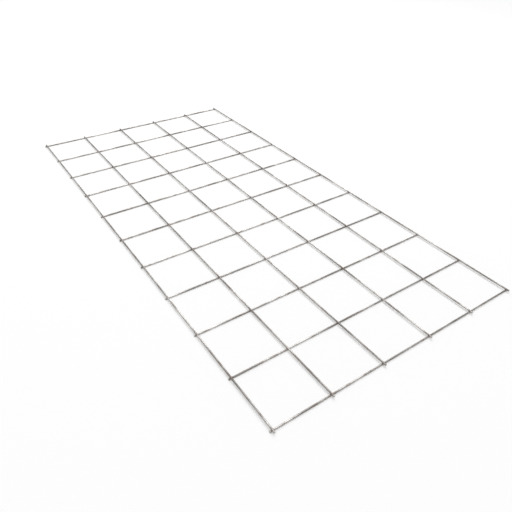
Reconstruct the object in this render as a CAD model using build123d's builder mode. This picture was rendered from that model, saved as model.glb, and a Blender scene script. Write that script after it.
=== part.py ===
from build123d import *
import os

# Welded wire mesh panel: a sheet of drawn steel wires crossing at right angles,
# spot welded wherever two of them cross. Millimetres, +Z up, width along X,
# length along Y. The panel lies on its cross wires, with the origin under its
# middle, at the level that those wires rest on.

# Driving dimensions
pitch_across = 200.0
pitch_along = 200.0
cells_across = 5
cells_along = 10
line_wire_diameter = 6.0
cross_wire_diameter = 6.0
line_wire_overhang_front = 12.0
line_wire_overhang_back = 5.0
cross_wire_overhang = 8.0
weld_set_down = 0.7
weld_collar_margin = 0.5
weld_collar_height = 1.6
sheared_edge_chamfer = 0.5
wire_sides = 8

# Heights of the two layers and of the joint between them
cross_wire_height = cross_wire_diameter / 2
line_wire_height = cross_wire_diameter - weld_set_down + line_wire_diameter / 2
weld_height = cross_wire_diameter - weld_set_down / 2

# Wire lengths, from the outermost welds out to the sheared ends
line_wire_length = cells_along * pitch_along + line_wire_overhang_front + line_wire_overhang_back
cross_wire_length = cells_across * pitch_across + 2 * cross_wire_overhang

# The origin is at the middle of the line wires, so that the cross wires and the welds
# sit off it by half of what the two overhangs differ
pattern_offset = (line_wire_overhang_front - line_wire_overhang_back) / 2

# A flat of the wire's section faces straight down, so that the panel rests on it
flat_down = 180 / wire_sides

# The squeezed-out metal of a spot weld stands a little past the thinner wire
weld_collar_diameter = min(line_wire_diameter, cross_wire_diameter) + 2 * weld_collar_margin

os.makedirs("parts", exist_ok=True)

with BuildPart() as mesh_panel:
    # Cross wires, the lower layer, all of one length and evenly spaced
    with BuildSketch(Plane.YZ):
        with Locations((pattern_offset, cross_wire_height)):
            with GridLocations(pitch_along, 0, cells_along + 1, 1):
                RegularPolygon(
                    cross_wire_diameter / 2, wire_sides, major_radius=False, rotation=flat_down
                )
    extrude(amount=cross_wire_length / 2, both=True)

    # Line wires, the upper layer, sunk a little into the cross wires by the welding
    with BuildSketch(Plane.XZ):
        with Locations((0, line_wire_height)):
            with GridLocations(pitch_across, 0, cells_across + 1, 1):
                RegularPolygon(
                    line_wire_diameter / 2, wire_sides, major_radius=False, rotation=flat_down
                )
    extrude(amount=line_wire_length / 2, both=True)

    # Sheared wire ends, with their sharp rims worn off
    end_faces = mesh_panel.faces().group_by(Axis.X)[0] + mesh_panel.faces().group_by(Axis.X)[-1]
    end_faces += mesh_panel.faces().group_by(Axis.Y)[0] + mesh_panel.faces().group_by(Axis.Y)[-1]
    chamfer(end_faces.edges(), sheared_edge_chamfer)

    # Spot welds: a thin collar of squeezed-out metal round the joint at every crossing
    with BuildSketch(Plane.XY.offset(weld_height)):
        with Locations((0, pattern_offset)):
            with GridLocations(pitch_across, pitch_along, cells_across + 1, cells_along + 1):
                RegularPolygon(
                    weld_collar_diameter / 2, wire_sides, major_radius=False, rotation=flat_down
                )
    extrude(amount=weld_collar_height / 2, both=True)

mesh_panel.part.label = "mesh_panel"
export_step(mesh_panel.part, "parts/mesh_panel.step")
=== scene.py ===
# %% [markdown]
# # Welded wire mesh panel
# A building sheet of drawn steel wires, crossing at right angles and spot welded at every crossing.
# The construction is already settled and is loaded as a fixed frame. This script gives it its looks:
# round wires with sheared ends, weld metal squeezed out at each joint, and a used bright-steel finish.

import math

import bmesh
import bpy
from mathutils import Matrix, Vector, noise


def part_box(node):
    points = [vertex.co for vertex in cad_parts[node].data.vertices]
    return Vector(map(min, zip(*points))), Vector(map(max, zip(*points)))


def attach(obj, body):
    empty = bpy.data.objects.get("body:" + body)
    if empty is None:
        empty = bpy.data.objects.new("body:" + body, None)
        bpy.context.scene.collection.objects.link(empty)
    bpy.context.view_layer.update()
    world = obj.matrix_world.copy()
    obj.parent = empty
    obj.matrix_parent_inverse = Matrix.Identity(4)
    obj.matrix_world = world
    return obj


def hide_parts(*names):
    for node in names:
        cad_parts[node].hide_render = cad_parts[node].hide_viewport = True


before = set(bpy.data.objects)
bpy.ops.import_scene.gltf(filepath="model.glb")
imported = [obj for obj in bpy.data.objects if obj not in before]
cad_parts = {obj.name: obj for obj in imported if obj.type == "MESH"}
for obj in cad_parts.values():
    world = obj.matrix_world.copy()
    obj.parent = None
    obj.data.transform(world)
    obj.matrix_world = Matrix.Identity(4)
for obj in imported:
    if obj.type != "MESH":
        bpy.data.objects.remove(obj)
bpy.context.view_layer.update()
panel_low, panel_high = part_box("mesh_panel")
print("panel from", tuple(panel_low), "to", tuple(panel_high))

# %% [markdown]
# ## Sizes of the mesh
# Only a few sizes are given here, the ones that a mesh maker would quote. The lengths of the wires
# follow from the frame's own box, so the round wires are cut to the length of the plain bars. The line
# wires are cut close behind the last cross wire and longer in front of the first.

# %% Sizes, in metres
PITCH = 0.200
CELLS_ACROSS = 5
CELLS_ALONG = 10
WIRE_RADIUS = 0.003
BACK_OVERHANG = 0.005

panel_width = panel_high.x - panel_low.x
panel_length = panel_high.y - panel_low.y
cross_wire_height = panel_low.z + WIRE_RADIUS
line_wire_height = panel_high.z - WIRE_RADIUS
weld_height = (cross_wire_height + line_wire_height) / 2

line_wire_places = [(i - CELLS_ACROSS / 2) * PITCH for i in range(CELLS_ACROSS + 1)]
last_cross_wire = panel_high.y - BACK_OVERHANG
cross_wire_places = [last_cross_wire - (CELLS_ALONG - j) * PITCH for j in range(CELLS_ALONG + 1)]
print(len(line_wire_places), "line wires and", len(cross_wire_places), "cross wires")

# %% [markdown]
# ## Camera
# The camera stands beside one corner of the sheet, at chest height, and looks down along it. Its place
# and its angles are given as a person would measure them: a heading turned from the sheet's length,
# a tilt below the horizon, and a slight roll.

# %% Camera
CAMERA_PLACE = Vector((-0.9706, -1.5800, 1.1270))
CAMERA_HEADING = math.radians(34.98)
CAMERA_TILT = math.radians(37.10)
CAMERA_ROLL = math.radians(1.28)
CAMERA_LENS = 35.02

camera_data = bpy.data.cameras.new("camera")
camera_data.sensor_width = 36.0
camera_data.lens = CAMERA_LENS
camera_data.clip_end = 200.0
camera = bpy.data.objects.new("camera", camera_data)
turn = Matrix.Rotation(-CAMERA_HEADING, 4, "Z")
tip = Matrix.Rotation(math.pi / 2 - CAMERA_TILT, 4, "X")
roll = Matrix.Rotation(CAMERA_ROLL, 4, "Z")
camera.matrix_world = Matrix.Translation(CAMERA_PLACE) @ turn @ tip @ roll
bpy.context.scene.collection.objects.link(camera)
bpy.context.scene.camera = camera
print("camera at", tuple(CAMERA_PLACE))

# %% [markdown]
# ## How a wire is modelled
# A drawn wire is a long round bar. A cylinder gives it at once, but a perfectly straight cylinder looks
# like plastic, so it needs rings along its length that can be pushed about. The rings are close
# together at each weld, where the electrodes leave a flat, and wide apart between the welds.

# %% Rings along a wire
RINGS_BY_A_WELD = (-0.0070, -0.0045, -0.0030, 0.0, 0.0030, 0.0045, 0.0070)
RINGS_IN_A_SPAN = 5
END_RING = 0.0030
RING_GAP = 0.0004


def ring_places(welds, half_length):
    """Where a wire has a ring of points along it, from one end to the other."""
    places = [weld + offset for weld in welds for offset in RINGS_BY_A_WELD]
    near = RINGS_BY_A_WELD[-1]
    for start, stop in zip(welds, welds[1:]):
        step = (stop - start - 2 * near) / (RINGS_IN_A_SPAN + 1)
        places += [start + near + step * (k + 1) for k in range(RINGS_IN_A_SPAN)]
    last_ring = half_length - END_RING
    inside = [p for p in places if abs(p) < last_ring - RING_GAP]
    return sorted(inside + [-half_length, -last_ring, last_ring, half_length])


line_rings = ring_places(cross_wire_places, panel_length / 2)
cross_rings = ring_places(line_wire_places, panel_width / 2)
print("rings on a line wire:", len(line_rings), "and on a cross wire:", len(cross_rings))

# %% [markdown]
# ## Chance that repeats
# No two wires of a real sheet are quite alike, yet the script has to make the same sheet every time.
# A smooth noise does both: each wire or weld reads it at a spot that comes from its own number, called
# its seed. The odd figures in the calls only keep one use of the noise well away from the next.

# %% A value that wanders
def wander(x, y, z):
    """A smooth value between about -1 and 1 that depends only on where it is read."""
    return noise.noise(Vector((x, y, z)))


print("three wires read", [round(wander(seed * 3.1, 1.7, 0.3), 3) for seed in range(1, 4)])

# %% [markdown]
# ## Sheared ends
# The wires are cut with a shear, which leaves its mark on the end face: the upper part, where the
# blade went in, is smooth, and the lower part tore off at a slope. The face is cut into small fields
# by planes, so that the line between the two parts can wander and the torn part can be rough in shape.
# Each part gets a material number of its own. A plain flat disc would do at a distance, but it looks
# sawn from close by.

# %% Two zones on an end face
RIM_BEVEL = 0.00045
INNER_RADIUS = WIRE_RADIUS - 1.2 * RIM_BEVEL
FIELD = 0.00070
CUTS_DOWN, CUTS_ASIDE = 4, 3
TEAR_WANDER = 0.0012
TEETH_PER_METRE = 900
TOUCH = 0.000002
DRAWN, BLADE_CUT, TORN = 0, 1, 2


def part_end_face(bm, end, tear, seed):
    """Parts one end face along an uneven line at height tear, and returns its points inside the rim."""
    cap = next(f for f in bm.faces if all(abs(vert.co.z - end) < TOUCH for vert in f.verts))
    planes = [((0, tear - k * FIELD, 0), (0, 1, 0)) for k in range(CUTS_DOWN)]
    planes += [((k * FIELD, 0, 0), (1, 0, 0)) for k in range(-CUTS_ASIDE, CUTS_ASIDE + 1)]
    geom = [cap, *cap.edges]
    for middle, across in planes:
        cut = bmesh.ops.bisect_plane(bm, geom=geom, dist=TOUCH, plane_co=middle, plane_no=across)
        geom = cut["geom"]
    faces = [part for part in geom if isinstance(part, bmesh.types.BMFace)]
    for face in faces:
        face.material_index = BLADE_CUT if face.calc_center_median().y > tear else TORN
    inner = {vert for face in faces for vert in face.verts if vert.co.xy.length < INNER_RADIUS}
    for vert in inner:
        if abs(vert.co.y - tear) < TOUCH:
            vert.co.y += FIELD * wander(vert.co.x * TEETH_PER_METRE, seed * 6.1, 8.3)
    return inner


# %% [markdown]
# The blade is never quite square to the wire, so the whole face leans a little, each wire's its own
# way. The torn part leans more and is pitted. All of it only goes inwards, so no end reaches past the
# length that its wire is cut to.

# %% Lean and pits of an end face
LEAN, LEAN_SPREAD = 0.10, 0.10
TEAR_LEAN = 0.16
PIT_DEPTH = 0.00022
PITS_PER_METRE = 1400


def shear_end(bm, end, seed):
    """Gives one end face its two zones, its lean and its pits."""
    tear = TEAR_WANDER * wander(seed * 4.7, 2.9, 5.1)
    inner = part_end_face(bm, end, tear, seed)
    way = wander(seed * 3.1, 1.7, 0.3) * math.tau
    lean = LEAN + LEAN_SPREAD * wander(seed * 5.3, 4.1, 2.2)
    inward = -1 if end > 0 else 1
    for vert in bm.verts:
        if abs(vert.co.z - end) < END_RING / 2:
            across = vert.co.x * math.cos(way) + vert.co.y * math.sin(way)
            depth = lean * (WIRE_RADIUS + across) + TEAR_LEAN * max(0.0, tear - vert.co.y)
            if vert in inner and vert.co.y < tear - FIELD / 2:
                pit = wander(vert.co.x * PITS_PER_METRE, vert.co.y * PITS_PER_METRE, seed)
                depth += PIT_DEPTH * abs(pit)
            vert.co.z += inward * depth


# %% [markdown]
# ## A straight wire
# The wire is made along Z, the direction that a cylinder is made in. One subdivision cuts its long
# faces into rings, and each ring is then slid to its place. The rim of each end is bevelled before the
# end is sheared, so that the rim stays round where the face slopes away.

# %% A straight wire with sheared ends
WIRE_SIDES = 24


def straight_wire(places, seed):
    """A closed round bar along Z with its rings at the given places."""
    bm = bmesh.new()
    half = places[-1]
    bmesh.ops.create_cone(
        bm, cap_ends=True, segments=WIRE_SIDES, radius1=WIRE_RADIUS, radius2=WIRE_RADIUS, depth=2 * half
    )
    long_edges = [e for e in bm.edges if e.verts[0].co.z * e.verts[1].co.z < 0]
    bmesh.ops.subdivide_edges(bm, edges=long_edges, cuts=len(places) - 2, use_grid_fill=True)
    step = 2 * half / (len(places) - 1)
    for vert in bm.verts:
        vert.co.z = places[round((vert.co.z + half) / step)]
    rims = [e for e in bm.edges if abs(e.verts[0].co.z) == half and abs(e.verts[1].co.z) == half]
    bmesh.ops.bevel(
        bm, geom=rims, offset=RIM_BEVEL, segments=2, profile=0.5, affect="EDGES", material=-1
    )
    shear_end(bm, half, seed)
    shear_end(bm, -half, seed + 0.5)
    return bm


sample = straight_wire(line_rings, 0)
shortest = min(edge.calc_length() for edge in sample.edges)
print("one line wire has", len(sample.faces), "faces and no edge under", round(1000 * shortest, 3), "mm")
sample.free()

# %% [markdown]
# ## Bow and electrode flats
# Straightened wire keeps a faint bow from its coil, and the welding electrodes press a small flat on
# the outer side of each joint. Both are made by moving the points of the rings. The bow only ever
# lifts a lower wire and drops an upper one, so the sheet stays inside its own thickness, and it fades
# out towards each weld, which holds the wires at their heights.

# %% Bow and flats
BOW_SIDEWAYS = 0.0009
BOW_UPRIGHT = 0.0005
BOWS_PER_METRE = 2.1
HELD_BY_WELD = 0.05
FLAT_DEPTH = 0.00035
FLAT_REACH = 0.0042
UPRIGHT_SEED = 40


def bow(place, seed, reach):
    """A smooth wandering value, between minus and plus reach, along a wire."""
    return reach * wander(place * BOWS_PER_METRE, seed * 7.7, 0.4)


def bend_wire(bm, welds, seed, outward):
    """Bows a wire along Z. Its local Y is up, and outward is +1 for an upper wire, -1 for a lower."""
    for vert in bm.verts:
        place = vert.co.z
        nearest = min(abs(place - weld) for weld in welds)
        if nearest < FLAT_REACH:
            limit = WIRE_RADIUS - FLAT_DEPTH * (1 - (nearest / FLAT_REACH) ** 2)
            vert.co.y = outward * min(outward * vert.co.y, limit)
        free = min(1.0, nearest / HELD_BY_WELD)
        sag = BOW_UPRIGHT / 2 + bow(place, seed + UPRIGHT_SEED, BOW_UPRIGHT / 2)
        vert.co.x += bow(place, seed, BOW_SIDEWAYS)
        vert.co.y -= outward * free * sag


# %% [markdown]
# ## The two layers of wires
# Every wire of a layer is made at the origin, stood in its place by one matrix, and gathered in one
# mesh. The matrix turns the wire's Z to the way it runs, and keeps its local Y pointing up. A linked
# copy for each wire would be quicker, but then every wire would have the same bow and the same ends.

# %% Gather wires in one mesh
def add_wire(target, wire, matrix):
    """Moves a finished wire to its place and adds it to the layer's mesh."""
    bmesh.ops.transform(wire, matrix=matrix, verts=wire.verts)
    scrap = bpy.data.meshes.new("scrap")
    wire.to_mesh(scrap)
    wire.free()
    target.from_mesh(scrap)
    bpy.data.meshes.remove(scrap)


def finished_piece(name, bm):
    """Turns a gathered mesh into an object that rides with the panel, smooth but for its cut faces."""
    bmesh.ops.recalc_face_normals(bm, faces=bm.faces)
    open_edges = sum(1 for e in bm.edges if len(e.link_faces) != 2)
    mesh = bpy.data.meshes.new(name)
    bm.to_mesh(mesh)
    bm.free()
    for polygon in mesh.polygons:
        polygon.use_smooth = polygon.material_index == DRAWN
    piece = bpy.data.objects.new(name, mesh)
    bpy.context.scene.collection.objects.link(piece)
    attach(piece, "root")
    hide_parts("mesh_panel")
    print(name, "has", len(mesh.polygons), "faces and", open_edges, "open edges")
    return piece


def basis(along, sideways, up, place):
    """A matrix that takes local Z, X and Y to the wire's run, its side and up."""
    columns = Matrix((sideways, up, along)).transposed().to_4x4()
    return Matrix.Translation(place) @ columns


# %% Line wires, the upper layer
X, Y, Z = Vector((1, 0, 0)), Vector((0, 1, 0)), Vector((0, 0, 1))

line_layer = bmesh.new()
for number, place in enumerate(line_wire_places):
    wire = straight_wire(line_rings, number)
    bend_wire(wire, cross_wire_places, number, outward=1)
    add_wire(line_layer, wire, basis(Y, -X, Z, Vector((place, 0, line_wire_height))))
line_wires = finished_piece("line_wires", line_layer)

# %% Cross wires, the lower layer
FIRST_CROSS_SEED = 20

cross_layer = bmesh.new()
for number, place in enumerate(cross_wire_places, start=FIRST_CROSS_SEED):
    wire = straight_wire(cross_rings, number)
    bend_wire(wire, line_wire_places, number, outward=-1)
    add_wire(cross_layer, wire, basis(X, Y, Z, Vector((0, place, cross_wire_height))))
cross_wires = finished_piece("cross_wires", cross_layer)

# %% [markdown]
# ## Spot welds
# The joint is made by pressing the hot wires together, so a little metal is squeezed out. It shows in
# the four corners between the wires. Each weld starts as a small sphere, is pressed flat, and its
# points are pushed out towards the corners and roughened with large lumps and small ripples.

# %% One weld
WELD_RADIUS = 0.0036
WELD_HALF_HEIGHT = 0.0014
WELD_SIDES, WELD_RINGS = 32, 14
WELD_WAIST = 0.92
CORNER_BULGE = 0.20
LUMPS, LUMP_BULGE, LUMP_THICKNESS = 1.8, 0.16, 0.30
RIPPLES, RIPPLE_BULGE = 4.6, 0.05
EDGE_FULLNESS = 0.75


def add_weld(target, place, seed):
    """Squeezed-out metal round one crossing."""
    weld = bmesh.new()
    bmesh.ops.create_uvsphere(weld, u_segments=WELD_SIDES, v_segments=WELD_RINGS, radius=1.0)
    for vert in weld.verts:
        corner = abs(math.sin(2 * math.atan2(vert.co.y, vert.co.x)))
        lump = noise.noise(vert.co * LUMPS + Vector((seed * 9.1, 0, 0)))
        ripple = noise.noise(vert.co * RIPPLES + Vector((0, seed * 7.3, 0)))
        bulge = CORNER_BULGE * corner + LUMP_BULGE * lump + RIPPLE_BULGE * ripple
        spread = WELD_RADIUS * (WELD_WAIST + bulge)
        thick = WELD_HALF_HEIGHT * (1 + LUMP_THICKNESS * lump)
        vert.co.x *= spread
        vert.co.y *= spread
        vert.co.z = math.copysign(abs(vert.co.z) ** EDGE_FULLNESS, vert.co.z) * thick
    add_wire(target, weld, Matrix.Translation(place))


# %% A weld at every crossing
weld_layer = bmesh.new()
for row, along in enumerate(cross_wire_places):
    for column, across in enumerate(line_wire_places):
        seed = row * len(cross_wire_places) + column
        add_weld(weld_layer, Vector((across, along, weld_height)), seed)
spot_welds = finished_piece("spot_welds", weld_layer)
print("welds:", len(line_wire_places) * len(cross_wire_places))

# %% [markdown]
# ## How the finishes are made
# Each finish is a small tree of nodes. The trees share a few kinds of node: a noise, a change of range,
# a sum or product, a mix of two colours, a bump, and the metal surface that they all feed. Every
# pattern reads the place on the piece itself, so it stays put from any side.

# %% Nodes that make a pattern
MOST_OF_A_NOISE = (0.3, 0.7)


def new_material(name):
    """An empty material and its tree."""
    material = bpy.data.materials.new(name)
    material.use_nodes = True
    material.node_tree.nodes.clear()
    return material, material.node_tree


def place_on_piece(tree):
    """The place on the piece, in metres."""
    return tree.nodes.new("ShaderNodeTexCoord").outputs["Object"]


def grain(tree, place, per_metre, stretch=(1, 1, 1), detail=3.0):
    """A noise with about that many spots to a metre, stretched by a mapping."""
    mapping = tree.nodes.new("ShaderNodeMapping")
    mapping.inputs["Scale"].default_value = stretch
    tree.links.new(place, mapping.inputs["Vector"])
    texture = tree.nodes.new("ShaderNodeTexNoise")
    texture.inputs["Scale"].default_value = per_metre
    texture.inputs["Detail"].default_value = detail
    tree.links.new(mapping.outputs["Vector"], texture.inputs["Vector"])
    return texture.outputs["Fac"]


def ranged(tree, source, low, high, to_low=0.0, to_high=1.0):
    """Maps low to high onto a new range, with soft ends."""
    node = tree.nodes.new("ShaderNodeMapRange")
    node.interpolation_type = "SMOOTHSTEP"
    node.inputs["From Min"].default_value = low
    node.inputs["From Max"].default_value = high
    node.inputs["To Min"].default_value = to_low
    node.inputs["To Max"].default_value = to_high
    tree.links.new(source, node.inputs["Value"])
    return node.outputs["Result"]


# %% Nodes that join and mix
def maths(tree, operation, first, second):
    """One sum, product or the like of two sockets or plain numbers."""
    node = tree.nodes.new("ShaderNodeMath")
    node.operation = operation
    for socket, value in zip(node.inputs, (first, second)):
        if isinstance(value, (int, float)):
            socket.default_value = value
        else:
            tree.links.new(value, socket)
    return node.outputs[0]


def product(tree, first, second):
    """Two values multiplied."""
    return maths(tree, "MULTIPLY", first, second)


def mixed(tree, factor, first, second):
    """Mixes two colours, each a linked socket or a plain colour."""
    node = tree.nodes.new("ShaderNodeMix")
    node.data_type = "RGBA"
    tree.links.new(factor, node.inputs["Factor"])
    for socket, value in ((node.inputs["A"], first), (node.inputs["B"], second)):
        if isinstance(value, tuple):
            socket.default_value = (*value, 1.0)
        else:
            tree.links.new(value, socket)
    return node.outputs["Result"]


# %% Nodes that make the surface
def bump(tree, height, strength, distance):
    """Relief too fine to model. The distance is its height, in metres."""
    node = tree.nodes.new("ShaderNodeBump")
    node.inputs["Strength"].default_value = strength
    node.inputs["Distance"].default_value = distance
    tree.links.new(height, node.inputs["Height"])
    return node.outputs["Normal"]


def show(tree, surface):
    """Makes a shader's output what the material shows."""
    output = tree.nodes.new("ShaderNodeOutputMaterial")
    tree.links.new(surface, output.inputs["Surface"])


def metal(tree, colour, roughness, relief, metallic=1.0):
    """The metal surface itself. Its metallic share is a plain number or a socket."""
    shader = tree.nodes.new("ShaderNodeBsdfPrincipled")
    tree.links.new(colour, shader.inputs["Base Color"])
    tree.links.new(roughness, shader.inputs["Roughness"])
    tree.links.new(relief, shader.inputs["Normal"])
    if isinstance(metallic, float):
        shader.inputs["Metallic"].default_value = metallic
    else:
        tree.links.new(metallic, shader.inputs["Metallic"])
    show(tree, shader.outputs["BSDF"])


# %% [markdown]
# ## Finish of the wire
# The wire is bright from the drawing die and has lain in store for a while. It is plain metal, with
# dull stretches, faint die lines along its run, a brown tint round each weld where the heat has been,
# which is also painted shade where the wires cross, and a few freckles of rust. The die lines come
# from a fine noise that is stretched along the run. The tint and its painted shade need to know how
# far the nearest weld is, which a ping-pong of the place along the wire gives, because the welds are
# evenly spaced.

# %% Marks on the wire
DIE_LINES, DIE_LINE_STRETCH = 2600.0, 0.012
PATCHES, CLOUDS, MOTTLE, FRECKLES = 7.0, 38.0, 170.0, 900.0
DULL_RANGE = (0.38, 0.64)
STAIN_RANGE = (0.48, 0.66)
HALO_RANGE, HALO_WANDER = (-0.014, 0.002), 0.030
FRECKLE_RANGE, FRECKLE_CLOUDS = (0.56, 0.72), (0.50, 0.64)


def wire_marks(tree, place, run, first_weld):
    """The die lines and mottle, and where the wire is dull, stained, heat tinted with painted shade at
    the welds, and rusty, from 0 to 1.
    """
    split = tree.nodes.new("ShaderNodeSeparateXYZ")
    tree.links.new(place, split.inputs["Vector"])
    from_first = maths(tree, "SUBTRACT", split.outputs[run], first_weld)
    from_weld = maths(tree, "PINGPONG", from_first, PITCH / 2)
    stretch = tuple(DIE_LINE_STRETCH if axis == run else 1.0 for axis in "XYZ")
    lines = grain(tree, place, DIE_LINES, stretch, 2.0)
    clouds = grain(tree, place, CLOUDS, detail=4.0)
    mottle = grain(tree, place, MOTTLE, detail=5.0)
    freckles = ranged(tree, grain(tree, place, FRECKLES), *FRECKLE_RANGE)

    dull = ranged(tree, grain(tree, place, PATCHES, detail=4.0), *DULL_RANGE)
    stained = product(tree, ranged(tree, clouds, *STAIN_RANGE), mottle)
    from_edge = maths(tree, "SUBTRACT", from_weld, product(tree, clouds, HALO_WANDER))
    # Real heat tint round each weld, kept dark partly as painted shade at the crossings.
    tint_and_shade = ranged(tree, from_edge, *HALO_RANGE, 1.0, 0.0)
    scattered = product(tree, freckles, ranged(tree, clouds, *FRECKLE_CLOUDS))
    rusty = maths(tree, "MAXIMUM", scattered, product(tree, tint_and_shade, freckles))
    return lines, mottle, dull, stained, tint_and_shade, rusty


# %% Wire material
BRIGHT_STEEL = (0.70, 0.676, 0.656)
DULL_STEEL = (0.29, 0.271, 0.258)
STREAK_GREY = (0.215, 0.202, 0.193)
STORE_STAIN = (0.27, 0.218, 0.178)
# Brown heat tint, which also stands in as painted shade round the crossings.
HEAT_TINT_AND_PAINTED_SHADE = (0.235, 0.20, 0.176)
RUST = (0.135, 0.068, 0.038)
STREAKS = (0.38, 0.68, 0.0, 0.55)
TINT_AND_SHADE_STRENGTH = 0.50
METAL_LOST_TO_RUST = 0.9
DRAWN_ROUGHNESS = (0.22, 0.36)
DULL_ROUGHER, STAIN_ROUGHER, TINT_ROUGHER, RUST_ROUGHER = 0.12, 0.16, 0.10, 0.30
MOTTLE_RELIEF = 0.8
WIRE_BUMP, WIRE_BUMP_HEIGHT = 0.35, 0.00008


def wire_material(name, run, first_weld):
    """Drawn steel for wires that run along one axis, welded every PITCH from first_weld."""
    material, tree = new_material(name)
    place = place_on_piece(tree)
    lines, mottle, dull, stained, tint_and_shade, rusty = wire_marks(tree, place, run, first_weld)

    colour = mixed(tree, dull, BRIGHT_STEEL, DULL_STEEL)
    colour = mixed(tree, ranged(tree, lines, *STREAKS), colour, STREAK_GREY)
    colour = mixed(tree, stained, colour, STORE_STAIN)
    # The heat tint, darkened partly as painted shade where the wires cross.
    colour = mixed(tree, product(tree, tint_and_shade, TINT_AND_SHADE_STRENGTH), colour, HEAT_TINT_AND_PAINTED_SHADE)
    colour = mixed(tree, rusty, colour, RUST)

    roughness = ranged(tree, lines, *MOST_OF_A_NOISE, *DRAWN_ROUGHNESS)
    for mark, rougher in (
        (dull, DULL_ROUGHER), (stained, STAIN_ROUGHER), (tint_and_shade, TINT_ROUGHER), (rusty, RUST_ROUGHER)
    ):
        roughness = maths(tree, "ADD", roughness, product(tree, mark, rougher))

    metallic = maths(tree, "SUBTRACT", 1.0, product(tree, rusty, METAL_LOST_TO_RUST))
    raised = maths(tree, "ADD", lines, product(tree, mottle, MOTTLE_RELIEF))
    relief = bump(tree, maths(tree, "ADD", raised, rusty), WIRE_BUMP, WIRE_BUMP_HEIGHT)
    metal(tree, colour, roughness, relief, metallic)
    print(name, "has", len(tree.nodes), "nodes")
    return material


line_wires.data.materials.append(wire_material("drawn_steel_along", "Y", cross_wire_places[0]))
cross_wires.data.materials.append(wire_material("drawn_steel_across", "X", line_wire_places[0]))

# %% [markdown]
# ## Finish of the sheared ends
# A cut face shows bare steel with no die lines. Where the blade went in, it is bright with fine marks
# that run down, the way of the blade's stroke. Where it tore, it is grey and grainy and has begun to
# rust. One recipe makes both, with other colours, another grain and another shine.

# %% Cut steel materials
CUT_BRIGHT, CUT_MARKS = (0.54, 0.52, 0.50), (0.33, 0.31, 0.295)
TORN_GREY, TORN_RUST = (0.42, 0.395, 0.375), (0.21, 0.15, 0.115)
BLADE_MARKS, BLADE_STRETCH = 3200.0, 0.06
TORN_GRAINS, NO_STRETCH = 2600.0, 1.0
BLADE_ROUGHNESS, TORN_ROUGHNESS = (0.26, 0.40), (0.42, 0.60)
BLADE_MARK_DEPTH, TORN_GRAIN_DEPTH = 0.00004, 0.00010
CUT_MARK_RANGE = (0.35, 0.65)
CUT_BUMP = 0.5


def cut_material(name, light, dark, per_metre, stretch, rough_range, depth):
    """Bare cut steel, with a grain that a stretch along Z turns into marks that run down."""
    material, tree = new_material(name)
    place = place_on_piece(tree)
    marks = grain(tree, place, per_metre, (1, 1, stretch))
    clouds = grain(tree, place, per_metre / 4)
    worn = product(tree, ranged(tree, marks, *CUT_MARK_RANGE), clouds)
    roughness = ranged(tree, marks, *MOST_OF_A_NOISE, *rough_range)
    metal(tree, mixed(tree, worn, light, dark), roughness, bump(tree, marks, CUT_BUMP, depth))
    return material


blade_cut = cut_material(
    "blade_cut", CUT_BRIGHT, CUT_MARKS, BLADE_MARKS, BLADE_STRETCH, BLADE_ROUGHNESS, BLADE_MARK_DEPTH
)
torn_steel = cut_material(
    "torn_steel", TORN_GREY, TORN_RUST, TORN_GRAINS, NO_STRETCH, TORN_ROUGHNESS, TORN_GRAIN_DEPTH
)
for layer in (line_wires, cross_wires):
    layer.data.materials.append(blade_cut)
    layer.data.materials.append(torn_steel)
    print(layer.name, "has materials", [material.name for material in layer.data.materials])

# %% [markdown]
# ## Finish of the welds
# Weld metal that was squeezed out cools in the open air, so it is darker and rougher than the wire,
# with a grey-brown scale. The brown parts are less of a metal and more of a crust.

# %% Weld material
SCALE_GREY = (0.42, 0.392, 0.372)
SCALE_BROWN = (0.20, 0.155, 0.124)
SCALE_BLOTCHES, SCALE_GRAINS = 620.0, 1900.0
SCALE_ROUGHNESS = (0.32, 0.58)
BROWN_RANGE, BROWN_METALLIC = (0.42, 0.64), 0.55
SCALE_BUMP, SCALE_BUMP_HEIGHT = 0.4, 0.00015


def weld_material():
    """Weld metal under its scale, in grey and brown blotches."""
    material, tree = new_material("weld_scale")
    place = place_on_piece(tree)
    brown = ranged(tree, grain(tree, place, SCALE_BLOTCHES, detail=4.0), *BROWN_RANGE)
    grains = grain(tree, place, SCALE_GRAINS)
    colour = mixed(tree, brown, SCALE_GREY, SCALE_BROWN)
    metallic = ranged(tree, brown, 0.0, 1.0, 1.0, BROWN_METALLIC)
    relief = bump(tree, grains, SCALE_BUMP, SCALE_BUMP_HEIGHT)
    roughness = ranged(tree, grains, *MOST_OF_A_NOISE, *SCALE_ROUGHNESS)
    metal(tree, colour, roughness, relief, metallic)
    print(material.name, "has", len(tree.nodes), "nodes")
    return material


spot_welds.data.materials.append(weld_material())

# %% [markdown]
# ## Floor and light
# The sheet lies on a plain pale floor that fills the view. Round steel shows whatever is above it, so
# the light decides how the wires look. The world is bright overhead, dim at a low angle and pale again
# down at the floor, which gives every wire a bright line along its top and darker flanks from any side,
# and gives the floor most of its even white. A wide soft sun from beyond the far right corner and one
# large soft lamp beyond the far end add a sheen to the tops and a soft shadow beside each wire. The
# floor is lifted a little towards white for the camera and for reflections, so no extra light falls on
# the sheet.

# %% Floor
FLOOR_HALF = 40.0
FLOOR_COLOUR = (0.96, 0.96, 0.96)
FLOOR_LIFT = 0.30


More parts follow.
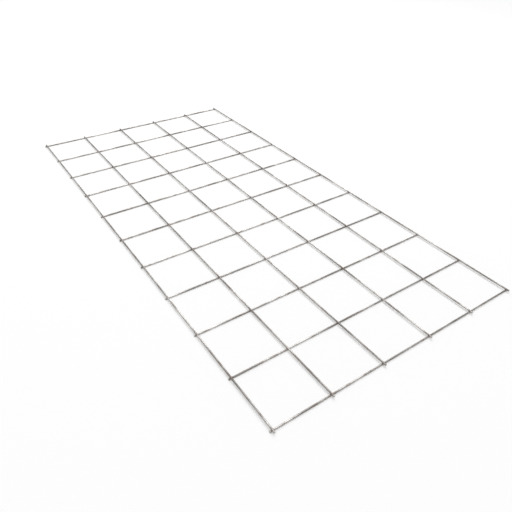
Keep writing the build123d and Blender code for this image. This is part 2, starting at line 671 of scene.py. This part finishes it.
def floor_material():
    """White paint that is mixed with plain white light where the camera or a reflection sees it."""
    material, tree = new_material("floor_white")
    paint = tree.nodes.new("ShaderNodeBsdfDiffuse")
    paint.inputs["Color"].default_value = (*FLOOR_COLOUR, 1.0)
    white = tree.nodes.new("ShaderNodeEmission")
    white.inputs["Strength"].default_value = 1.0
    path = tree.nodes.new("ShaderNodeLightPath")
    seen = maths(tree, "MAXIMUM", path.outputs["Is Camera Ray"], path.outputs["Is Glossy Ray"])
    seen = maths(tree, "MAXIMUM", seen, path.outputs["Is Transmission Ray"])
    blend = tree.nodes.new("ShaderNodeMixShader")
    tree.links.new(product(tree, seen, FLOOR_LIFT), blend.inputs["Fac"])
    tree.links.new(paint.outputs["BSDF"], blend.inputs[1])
    tree.links.new(white.outputs["Emission"], blend.inputs[2])
    show(tree, blend.outputs["Shader"])
    return material


floor_shape = bmesh.new()
bmesh.ops.create_grid(floor_shape, x_segments=1, y_segments=1, size=FLOOR_HALF)
floor_mesh = bpy.data.meshes.new("floor")
floor_shape.to_mesh(floor_mesh)
floor_shape.free()
floor = bpy.data.objects.new("floor", floor_mesh)
floor.data.materials.append(floor_material())
bpy.context.scene.collection.objects.link(floor)
print("floor", 2 * FLOOR_HALF, "m wide")

# %% World
SKY_BY_HEIGHT = (
    (0.0, 0.95), (0.18, 0.75), (0.28, 0.14), (0.38, 0.14), (0.55, 0.30), (0.78, 0.45), (0.90, 1.90)
)


def pale_world():
    """A plain room: pale at the floor, dim above it and bright overhead, by the height looked at."""
    world = bpy.data.worlds.new("pale_room")
    world.use_nodes = True
    tree = world.node_tree
    way = tree.nodes.new("ShaderNodeSeparateXYZ")
    tree.links.new(tree.nodes.new("ShaderNodeTexCoord").outputs["Generated"], way.inputs["Vector"])
    ramp = tree.nodes.new("ShaderNodeValToRGB")
    ramp.color_ramp.interpolation = "EASE"
    steps = ramp.color_ramp.elements
    steps.remove(steps[1])
    for number, (height, grey) in enumerate(SKY_BY_HEIGHT):
        step = steps[0] if number == 0 else steps.new(height)
        step.position = height
        step.color = (grey, grey, grey, 1.0)
    tree.links.new(way.outputs["Z"], ramp.inputs["Fac"])
    tree.links.new(ramp.outputs["Color"], tree.nodes["Background"].inputs["Color"])
    return world


bpy.context.scene.world = pale_world()
bpy.context.scene.view_settings.view_transform = "Standard"
print("the world has", len(SKY_BY_HEIGHT), "steps from the floor to overhead")

# %% Lamps
SUN_FROM, SUN_SPREAD, SUN_STRENGTH = (0.35, 0.45, 0.82), 42.0, 0.55
LAMP_PLACE, LAMP_AIM = (1.5, 3.2, 3.0), (0.3, 0.3, 0.0)
LAMP_WIDTH, LAMP_HEIGHT, LAMP_POWER = 3.6, 2.4, 42.0


def soft_sun(name, towards, spread, strength):
    """A wide parallel light that comes from a direction, so the whole floor is lit alike."""
    data = bpy.data.lights.new(name, "SUN")
    data.angle = math.radians(spread)
    data.energy = strength
    sun = bpy.data.objects.new(name, data)
    sun.matrix_world = Vector(towards).to_track_quat("Z", "Y").to_matrix().to_4x4()
    bpy.context.scene.collection.objects.link(sun)


def soft_lamp(name, place, aim, width, height, power):
    """A rectangular lamp at a place, turned to face a point."""
    data = bpy.data.lights.new(name, "AREA")
    data.shape = "RECTANGLE"
    data.size, data.size_y = width, height
    data.energy = power
    lamp = bpy.data.objects.new(name, data)
    facing = (Vector(aim) - Vector(place)).to_track_quat("-Z", "Y")
    lamp.matrix_world = Matrix.Translation(place) @ facing.to_matrix().to_4x4()
    bpy.context.scene.collection.objects.link(lamp)


soft_sun("key", SUN_FROM, SUN_SPREAD, SUN_STRENGTH)
soft_lamp("far_end", LAMP_PLACE, LAMP_AIM, LAMP_WIDTH, LAMP_HEIGHT, LAMP_POWER)
print("lamps:", [light.name for light in bpy.data.lights])
